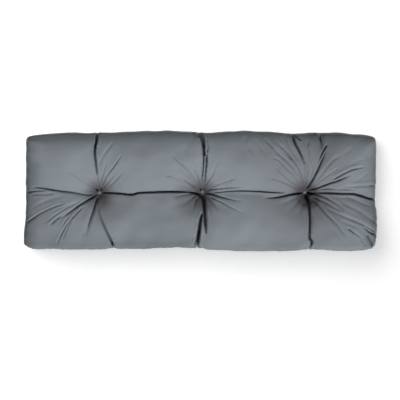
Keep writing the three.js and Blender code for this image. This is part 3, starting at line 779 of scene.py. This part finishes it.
def refine(piece):
    """Halves the cells near the seams and folds, again along the folds, and again round the tufts."""
    select_only(piece)
    for level, (beside_fold, round_tuft) in enumerate(CUTS):
        points, cube = places(piece) / MM, places(piece, "on_cube")
        wanted = np.zeros(len(points), dtype=bool)
        for folds, x, y, there, over in charts(cube, points)[: 3 - level]:
            for each in folds:
                if not beside_fold or max(each["sink"]) <= level * SHALLOW * min(each["lip"]):
                    continue
                beside = beside_fold * max(each["lip"]) * (1 if folds is FRONT_FOLDS else 0.5)
                reach = beside + CUT_MARGIN + max(each["gap"]) / 2
                offset, share, near = to_path(x, y, each["path"], reach)
                wanted[near] |= (over if each["runs_over"] else there)[near] > 0.02
        if level == 0:
            to_end, to_long, to_panel = to_edges(cube)
            on_band = (cube[:, 2] > 0) & (np.abs(cube[:, :2]).max(axis=1) > 0.9999)
            wanted |= on_band & (to_panel < SEAM_CUT)
            wanted |= (cube[:, 2] > 0.999) & (np.minimum(to_end, to_long) < SEAM_CUT)
        near_tuft = (np.abs(cube[:, 2]) > 0.999) & (from_tufts(points[:, 0], points[:, 1]) < round_tuft)
        wanted |= near_tuft & ((cube[:, 2] > 0) | (level < 2))
        bpy.ops.object.mode_set(mode="EDIT")
        bpy.ops.mesh.select_mode(type="VERT")
        bpy.ops.mesh.select_all(action="DESELECT")
        bpy.ops.object.mode_set(mode="OBJECT")
        piece.data.vertices.foreach_set("select", wanted)
        bpy.ops.object.mode_set(mode="EDIT")
        bpy.ops.mesh.select_mode(type="FACE")
        bpy.ops.mesh.subdivide(number_cuts=1, smoothness=1 if level == 0 else 0.4, ngon=False)
        bpy.ops.object.mode_set(mode="OBJECT")


refine(cover)

SLOT_STEEPNESS = 3  # how deep the open bottom of a fold goes on, for each width of it
BLEND = 3  # how little folds that cross add up: 1 is in full
FADES_IN, FADES_OUT = 0.12, 0.3  # over these shares of its length a fold gets deeper, and runs out
RIDGES_END = 1.9  # how far beside a fold its ridge has died away, in lips


def fold_depth(folds, x, y, there, over):
    """How deep the folds of one chart sink each point: the rounded cloth, the slots at its bottom, and
    the ridges beside, which stand up."""
    rounded = np.zeros(len(x))
    swollen = np.zeros(len(x))
    slotted = np.zeros(len(x))
    for each in folds:
        reach = RIDGES_END * max(each["lip"]) + max(each["gap"]) / 2
        offset, share, near = to_path(x, y, each["path"], reach)
        distance = np.abs(offset)
        lip = np.where(offset > 0, *each["lip"])
        here = (over if each["runs_over"] else there)[near]
        ends = 1 if each["runs_over"] else np.sqrt(np.clip((1 - share) / FADES_OUT, 0, 1))
        ends = ends * np.sqrt(np.clip((share + 0.02) / FADES_IN, 0, 1)) * here
        gap = np.interp(share, (0, 1), each["gap"]) / 2 * ends
        sink = np.interp(share, (0, 1), each["sink"]) * ends
        rise = np.clip((distance - gap) / lip, 0, 1)
        lips = sink * (1 - np.sqrt(1 - (1 - rise) ** 2))
        rounded[near] = (rounded[near] ** BLEND + lips**BLEND) ** (1 / BLEND)
        ridge = np.where(offset > 0, *each["ridge"])
        ridge = ridge * sink * np.exp(-(((distance - gap - lip) / (0.5 * lip)) ** 2))
        swollen[near] = np.maximum(swollen[near], ridge)
        # The slot's walls slope a little, and a gap that is too narrow for the cells has none.
        slot = SLOT_STEEPNESS * 2 * gap * (1 - smoothstep(distance, gap - 0.9, gap + 1.1))
        slotted[near] = np.maximum(slotted[near], slot * smoothstep(gap, 0.35, 1))
    return rounded, slotted, np.where(rounded < swollen, swollen, 0)


SEAM_GROOVE = 1.9  # its depth
SEAM_WIDTH = 1.7
PUCKERS = ((61, 0.5), (97, 0.6), (151, 0.55), (223, 0.35))  # waves round the cushion, and their depth
PUCKER_REACH = 24


def seam_depth(cube):
    """A narrow groove along each seam, and the puckers that its stitches draw on both sides."""
    to_end, to_long, to_panel = to_edges(cube)
    distance = np.hypot(np.minimum(to_end, to_long), to_panel)
    corner = smoothstep(np.hypot(to_end, to_long), 4, 30)
    place = around(cube)
    length = 4 * (half_length + half_height)
    pucker = np.zeros(len(cube))
    for waves, deep in PUCKERS:
        phase = place * waves / length + random.random()
        pucker += deep * np.sin(2 * math.pi * phase + 3 * np.sign(cube[:, 2]))
    groove = SEAM_GROOVE * np.exp(-((distance / SEAM_WIDTH) ** 2))
    return groove + pucker * corner * dip(distance, PUCKER_REACH)


LUMPS = 14
LUMP_HEIGHT = 0.004  # for each millimetre of its length


def lumps(x, y):
    """The filling is nowhere quite even, and the cloth over it rises and falls a little."""
    height = np.zeros_like(x)
    for wave in range(LUMPS):
        length = random.uniform(45, 130)
        turn = random.uniform(0, math.pi)
        along = x * math.cos(turn) + y * math.sin(turn)
        height += LUMP_HEIGHT * length * np.sin(2 * math.pi * along / length + random.uniform(0, 6.3))
    return height


FOLDLESS = (5.8, 9)  # distances from a tuft between which the folds set in


def sink_folds(piece):
    """Sinks the folds and the seams into the cloth, and says how deep inside a fold each point lies."""
    points, cube = places(piece) / MM, places(piece, "on_cube")
    clear = smoothstep(from_tufts(points[:, 0], points[:, 1]), *FOLDLESS)
    inside = np.zeros(len(points))
    depth = np.zeros(len(points))
    for chart in charts(cube, points):
        rounded, slotted, swollen = fold_depth(*chart)
        depth += (rounded + slotted - swollen) * clear
        inside += rounded + slotted
    depth += seam_depth(cube) + lumps(points[:, 0], points[:, 1] + points[:, 2]) * clear
    points -= outward(cube) * depth[:, None]
    points[:, 2] = np.maximum(points[:, 2], 0)
    move_to(piece, points * MM)
    return inside


inside = sink_folds(cover)

# Places where shade is painted into the colour of the front: the middle of each place, how far it reaches
# and how dark it is. Each tuft has one to three, and three more lie where creases run over the upper edge.
HOLLOWS = [
    (-334, -24, 90, 0.34),
    (-14, -28, 100, 0.38),
    (-62, -14, 44, 0.2),
    (359, -12, 225, 0.35),
    (372, -26, 50, 0.6),
    (412, -30, 64, 0.26),
    (442, 188, 122, 0.3),
    (404, 196, 46, 0.36),
    (-6, 197, 21, 0.6),
]
# The same painted shade at the two ends and along the lower edge, where it is greyer.
EDGE_SHADES = [
    (-590, 48, 78, 0.26),
    (600, 55, 70, 0.14),
    (602, -70, 105, 0.26),
    (-140, -205, 160, 0.2),
    (270, -210, 105, 0.14),
    (554, 2, 36, 0.16),
    (585, -166, 32, 0.3),
]
HOLLOW_CORE = 15  # how far from its middle such a place is as dark as it gets
# How far from a tuft, a seam or an end shade is painted into the cloth's colour, how far from it that is in
# full, and how dark it is there.
WELL_SHADE = (62, 8, 0.68)
SEAM_SHADE = (30, 0, 0.25)
END_SHADE = (62, 0, 0.18)
# The shade painted into a fold's colour grows between these depths inside it.
FOLD_SHADE = (8, 50)  # depths inside a fold between which it gets dark


def darkened(distance, reach, core, dark):
    """How much shade is painted into the cloth at a distance from what shades it."""
    return dark * smoothstep(distance, reach, core)


def shade(hollows, cube, x, y):
    """How much painted shade the shaded places give each point of the front."""
    total = np.zeros_like(x)
    for hollow_x, hollow_y, reach, dark in hollows:
        total += darkened(np.hypot(x - hollow_x, y - hollow_y), reach, HOLLOW_CORE, dark)
    return total * smoothstep(cube[:, 2], 0, 1)


def keep(piece, name, values):
    """Keeps a number from 0 to 1 at each point of the cloth, for the shade painted into its colour."""
    kept = piece.data.attributes.new(name, "FLOAT", "POINT")
    kept.data.foreach_set("value", np.clip(values, 0, 1))


def shade_folds(piece, inside):
    """Keeps how much shade is painted into each point's colour: in a fold or a well, and by a seam or an end
    of the cushion.
    """
    points, cube = places(piece) / MM, places(piece, "on_cube")
    x, y = points[:, :2].T
    well = darkened(from_tufts(x, y, LOWER_WELL), *WELL_SHADE) + shade(HOLLOWS, cube, x, y)
    first, last = FOLD_SHADE
    keep(piece, "painted_hollow_shade", np.maximum(inside - first, 0) / (last - first) + well)
    to_end, to_long, to_panel = to_edges(cube)
    seam_and_end_shade = darkened(np.hypot(np.minimum(to_end, to_long), to_panel), *SEAM_SHADE)
    # By the front's seam the painted shade is half as dark again in the lower left quarter.
    seam_and_end_shade *= 1 + 0.5 * smoothstep(x, 80, -60) * (y < 0) * smoothstep(cube[:, 2], 0.4, 1)
    seam_and_end_shade += darkened(np.hypot(to_end, to_panel), *END_SHADE)
    keep(piece, "painted_edge_shade", seam_and_end_shade + shade(EDGE_SHADES, cube, x, y))


shade_folds(cover, inside)


def add_node(material, kind, **settings):
    """A new node of a material, with its own settings and the values of its sockets by their names."""
    node = material.node_tree.nodes.new(kind)
    for name, value in settings.items():
        if hasattr(node, name):
            setattr(node, name, value)
        else:
            node.inputs[name.replace("_", " ").title()].default_value = value
    return node


THREAD = 0.00055  # width of one thread of the weave, in metres


def cloth_material(name, colour, shades=()):
    """Fine plain-woven polyester with a soft sheen. shades are the kept numbers of painted shade that darken
    it, each with the share of red, green and blue that is left where it is 1."""
    material = bpy.data.materials.new(name)
    material.use_nodes = True
    link = material.node_tree.links.new
    shader = material.node_tree.nodes["Principled BSDF"]
    shader.inputs["Sheen Weight"].default_value = 0.04
    shader.inputs["Sheen Roughness"].default_value = 0.5
    shader.inputs["Specular IOR Level"].default_value = 0.2

    place = add_node(material, "ShaderNodeTexCoord")
    # The cloth's tone drifts a little from place to place.
    drift = add_node(material, "ShaderNodeTexNoise", scale=5.5, detail=3)
    link(place.outputs["Object"], drift.inputs["Vector"])
    tone = add_node(material, "ShaderNodeMix", data_type="RGBA")
    tone.inputs["A"].default_value = (*(0.93 * c for c in colour), 1)
    tone.inputs["B"].default_value = (1.05 * colour[0], 1.05 * colour[1], 1.08 * colour[2], 1)
    link(drift.outputs["Fac"], tone.inputs["Factor"])
    last = tone
    for kept, left in shades:
        amount = add_node(material, "ShaderNodeAttribute", attribute_name=kept)
        darker = add_node(material, "ShaderNodeMix", data_type="RGBA")
        darker.inputs["B"].default_value = (*(share * c for share, c in zip(left, colour)), 1)
        link(amount.outputs["Fac"], darker.inputs["Factor"])
        link(last.outputs["Result"], darker.inputs["A"])
        last = darker
    link(last.outputs["Result"], shader.inputs["Base Color"])

    # The weave: warp and weft threads that pass over each other in turn.
    weave = add_node(material, "ShaderNodeMath", operation="MULTIPLY")
    for direction, socket in (("X", 0), ("Y", 1)):
        wave = add_node(material, "ShaderNodeTexWave", bands_direction=direction, distortion=0.6)
        wave.inputs["Scale"].default_value = math.pi / 10 / THREAD  # at 1, a wave is pi / 10 long
        link(place.outputs["UV"], wave.inputs["Vector"])
        link(wave.outputs["Fac"], weave.inputs[socket])
    fine = add_node(material, "ShaderNodeBump", strength=0.25, distance=0.0002)
    link(weave.outputs["Value"], fine.inputs["Height"])
    # Small crinkles that never iron out of the filled cloth.
    crinkle = add_node(material, "ShaderNodeTexNoise", scale=38, detail=4, roughness=0.45, distortion=0.6)
    link(place.outputs["Object"], crinkle.inputs["Vector"])
    soft = add_node(material, "ShaderNodeBump", strength=0.35, distance=0.0016)
    link(crinkle.outputs["Fac"], soft.inputs["Height"])
    link(fine.outputs["Normal"], soft.inputs["Normal"])
    link(soft.outputs["Normal"], shader.inputs["Normal"])
    gloss = add_node(material, "ShaderNodeMapRange", to_min=0.62, to_max=0.76)
    link(crinkle.outputs["Fac"], gloss.inputs["Value"])
    link(gloss.outputs["Result"], shader.inputs["Roughness"])
    return material


CLOTH = (0.215, 0.24, 0.256)
# Painted shade: grey by the seams, the ends and the lower edge, brownish in the folds, wells and hollows.
SHADES = (("painted_edge_shade", (0.28, 0.285, 0.285)), ("painted_hollow_shade", (0.33, 0.27, 0.28)))
cover.data.materials.append(cloth_material("cushion_cloth", CLOTH, SHADES))

# ------------------------------------------------------------------------------
# The tuft buttons: small domes covered with the cushion's own cloth, which is gathered underneath, so
# that it pleats over the rim. Each is tied to its fellow on the other side through the filling.
# ------------------------------------------------------------------------------

BUTTON_PLEATS = 13
PLEAT_DEPTH = 0.07  # as a share of the radius, and how much narrower the gathered cloth is besides
GATHERED_IN = 0.02
BUTTON_RIM = 0.36  # height of the widest place, as a share of the button's
# The buttons' cloth is the cushion's cloth made about a third darker: painted shade for the deep wells they
# sit in.
button_cloth = cloth_material("button_cloth", (0.15, 0.165, 0.176))


def covered_button(node, facing):
    """A covered button in place of a plain one, with its dome towards facing, 1 or -1 along z."""
    corner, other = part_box(node)
    radius = (other.x - corner.x) / 2
    tall = other.z - corner.z
    centre = (corner + other) / 2
    rim = BUTTON_RIM * tall
    deselect()
    bpy.ops.mesh.primitive_uv_sphere_add(segments=52, ring_count=26, radius=radius)
    button = bpy.context.object
    button.name = f"covered_{node}"
    x, y, z = places(button).T
    turn = np.arctan2(y, x)
    level = z / radius
    z = np.where(level > 0, level * (tall - rim), np.maximum(level * 1.6, -1) * rim) + rim
    gathered = np.exp(-(((level + 0.15) / 0.4) ** 2))
    pleat = np.abs(np.sin(turn * BUTTON_PLEATS / 2 + 0.7 * np.sin(2 * turn)))
    shrink = 1 - PLEAT_DEPTH * gathered * (1 - pleat) - GATHERED_IN * gathered
    points = np.stack([x * shrink, y * shrink, z], axis=1)
    if facing < 0:
        points *= (1, -1, -1)
    base = corner.z if facing > 0 else other.z
    move_to(button, points + (centre.x, centre.y, base))
    bpy.ops.object.shade_smooth()
    button.data.materials.append(button_cloth)
    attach(button, "root")
    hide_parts(node)
    return button


buttons = [
    covered_button(f"button_{face}_{side}", facing)
    for face, facing in (("front", 1), ("back", -1))
    for side in ("left", "middle", "right")
]

# ------------------------------------------------------------------------------
# The studio. The cushion lies on its back on a white floor, under a large soft lamp from the lower
# right. A second lamp, from the upper left, lights only the floor and gives it its shadow. The camera
# looks straight down through a long lens.
# ------------------------------------------------------------------------------

FLOOR_LEVEL = -0.0003  # just clear of the cushion
FLOOR_WHITE = 0.52
WORLD_LIGHT = 0.24
CAMERA_HEIGHT = 14.0
CAMERA_LOWER = 0.032  # how far the camera stands below the cushion's middle
VIEW_WIDTH = 1.364  # seen across the picture at VIEW_LEVEL over the floor
VIEW_LEVEL = 0.06


def shown_white(tree, strength):
    """Plain white of a strength where a surface is seen, mirrored or seen through, which lights nothing."""
    ray = tree.nodes.new("ShaderNodeLightPath")
    seen = ray.outputs["Is Camera Ray"]
    for kind in ("Is Glossy Ray", "Is Transmission Ray"):
        either = tree.nodes.new("ShaderNodeMath")
        either.operation = "MAXIMUM"
        tree.links.new(seen, either.inputs[0])
        tree.links.new(ray.outputs[kind], either.inputs[1])
        seen = either.outputs["Value"]
    amount = tree.nodes.new("ShaderNodeMath")
    amount.operation = "MULTIPLY"
    amount.inputs[1].default_value = strength
    tree.links.new(seen, amount.inputs[0])
    return amount.outputs["Value"]


def white_floor():
    deselect()
    bpy.ops.mesh.primitive_plane_add(size=12, location=(0, 0, FLOOR_LEVEL))
    floor = bpy.context.object
    floor.name = "floor"
    material = bpy.data.materials.new("floor")
    material.use_nodes = True
    tree = material.node_tree
    shader = tree.nodes["Principled BSDF"]
    shader.inputs["Base Color"].default_value = (0.8, 0.8, 0.8, 1)
    shader.inputs["Roughness"].default_value = 1
    shader.inputs["Specular IOR Level"].default_value = 0
    shader.inputs["Emission Color"].default_value = (1, 1, 1, 1)
    tree.links.new(shown_white(tree, FLOOR_WHITE), shader.inputs["Emission Strength"])
    floor.data.materials.append(material)
    return floor


def soft_lamp(name, toward, distance, size, watts):
    """A square lamp at a distance from the cushion in a direction, facing it."""
    light = bpy.data.lights.new(name, "AREA")
    light.size = size
    light.energy = watts
    lamp = bpy.data.objects.new(name, light)
    bpy.context.collection.objects.link(lamp)
    direction = Vector(toward).normalized()
    lamp.location = direction * distance
    lamp.rotation_mode = "QUATERNION"
    lamp.rotation_quaternion = direction.to_track_quat("Z", "Y")
    return lamp


def lights_only(lamp, *objects):
    lit = bpy.data.collections.new(f"lit_by_{lamp.name}")
    for each in objects:
        lit.objects.link(each)
    lamp.light_linking.receiver_collection = lit


floor = white_floor()
key_lamp = soft_lamp("key", toward=(0.32, -0.76, 1), distance=8, size=3, watts=600)
lights_only(key_lamp, cover, *buttons)
floor_lamp = soft_lamp("floor_lamp", toward=(-0.74, 0.62, 1), distance=5, size=5.7, watts=290)
lights_only(floor_lamp, floor)

world = bpy.context.scene.world or bpy.data.worlds.new("World")
bpy.context.scene.world = world
world.use_nodes = True
background = world.node_tree.nodes["Background"]
background.inputs["Color"].default_value = (1, 1, 1, 1)
sky = world.node_tree.nodes.new("ShaderNodeMath")
sky.operation = "ADD"
sky.inputs[1].default_value = WORLD_LIGHT
world.node_tree.links.new(shown_white(world.node_tree, 1 - WORLD_LIGHT), sky.inputs[0])
world.node_tree.links.new(sky.outputs["Value"], background.inputs["Strength"])

camera_data = bpy.data.cameras.new("camera")
camera_data.sensor_width = 36
camera_data.lens = camera_data.sensor_width * (CAMERA_HEIGHT - VIEW_LEVEL) / VIEW_WIDTH
camera = bpy.data.objects.new("camera", camera_data)
bpy.context.collection.objects.link(camera)
camera.location = (0, -CAMERA_LOWER, CAMERA_HEIGHT)
bpy.context.scene.camera = camera
bpy.context.scene.view_settings.view_transform = "Standard"
